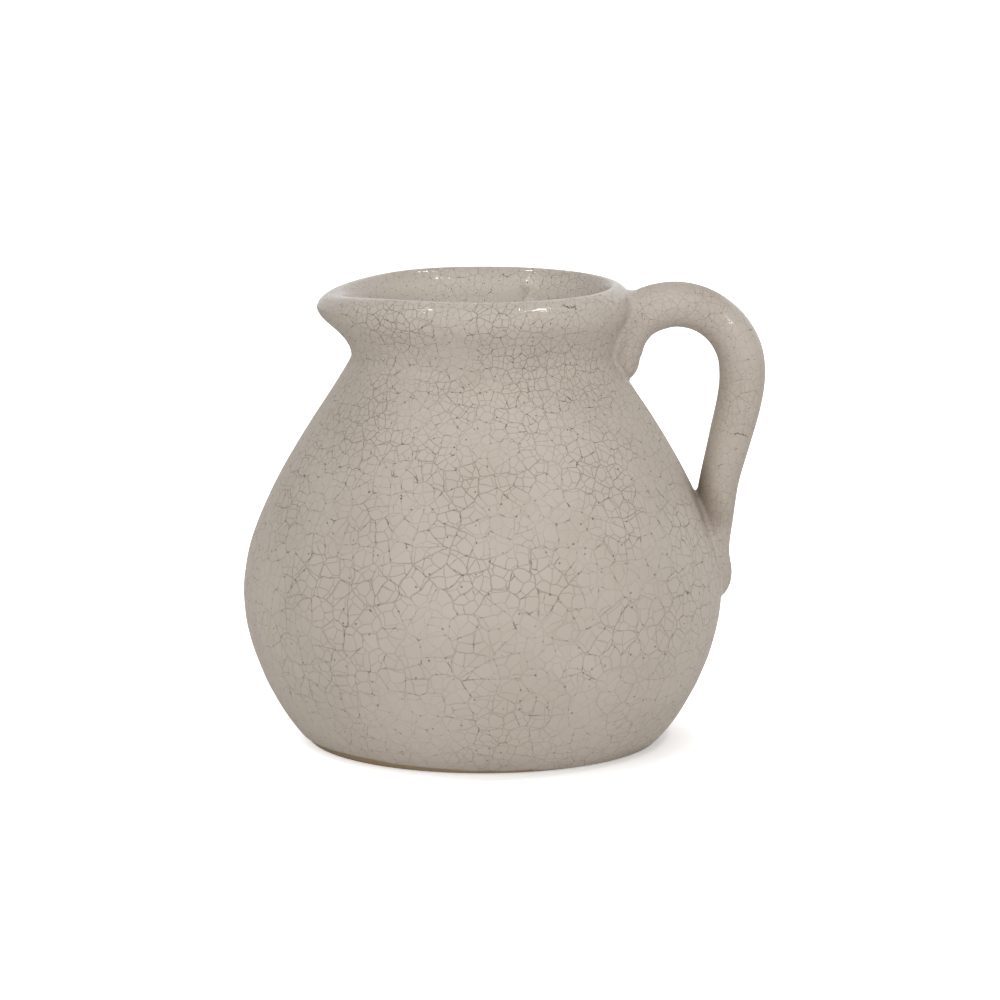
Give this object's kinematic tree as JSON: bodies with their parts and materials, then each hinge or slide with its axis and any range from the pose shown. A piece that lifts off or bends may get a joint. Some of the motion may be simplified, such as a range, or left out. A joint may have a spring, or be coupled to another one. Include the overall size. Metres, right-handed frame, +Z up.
{
  "type": "jug",
  "caption": "Pear-shaped glazed jug with a rolled rim, a pulled pouring spout and a thick looped handle joined at the neck and the belly.",
  "frame": {"origin": "on the pot's axis, in the plane of the foot ring that stands on the table", "axes": "+Z up along the pot's axis, +X from the axis towards the handle, with the spout along -X; the jug is a mirror image of itself across the XZ plane"},
  "size_m": [0.1739, 0.16, 0.1534],
  "materials": {
    "body_glaze": "warm grey crackle glaze over brown stoneware, bare at the foot",
    "handle_glaze": "warm grey crackle glaze",
    "joint_glaze": "warm grey crackle glaze, darker where it pools in the corner"
  },
  "bodies": {
    "root": {"body": "body_glaze", "handle": "handle_glaze", "upper_joint": "joint_glaze", "lower_joint": "joint_glaze"}
  },
  "joints": []
}
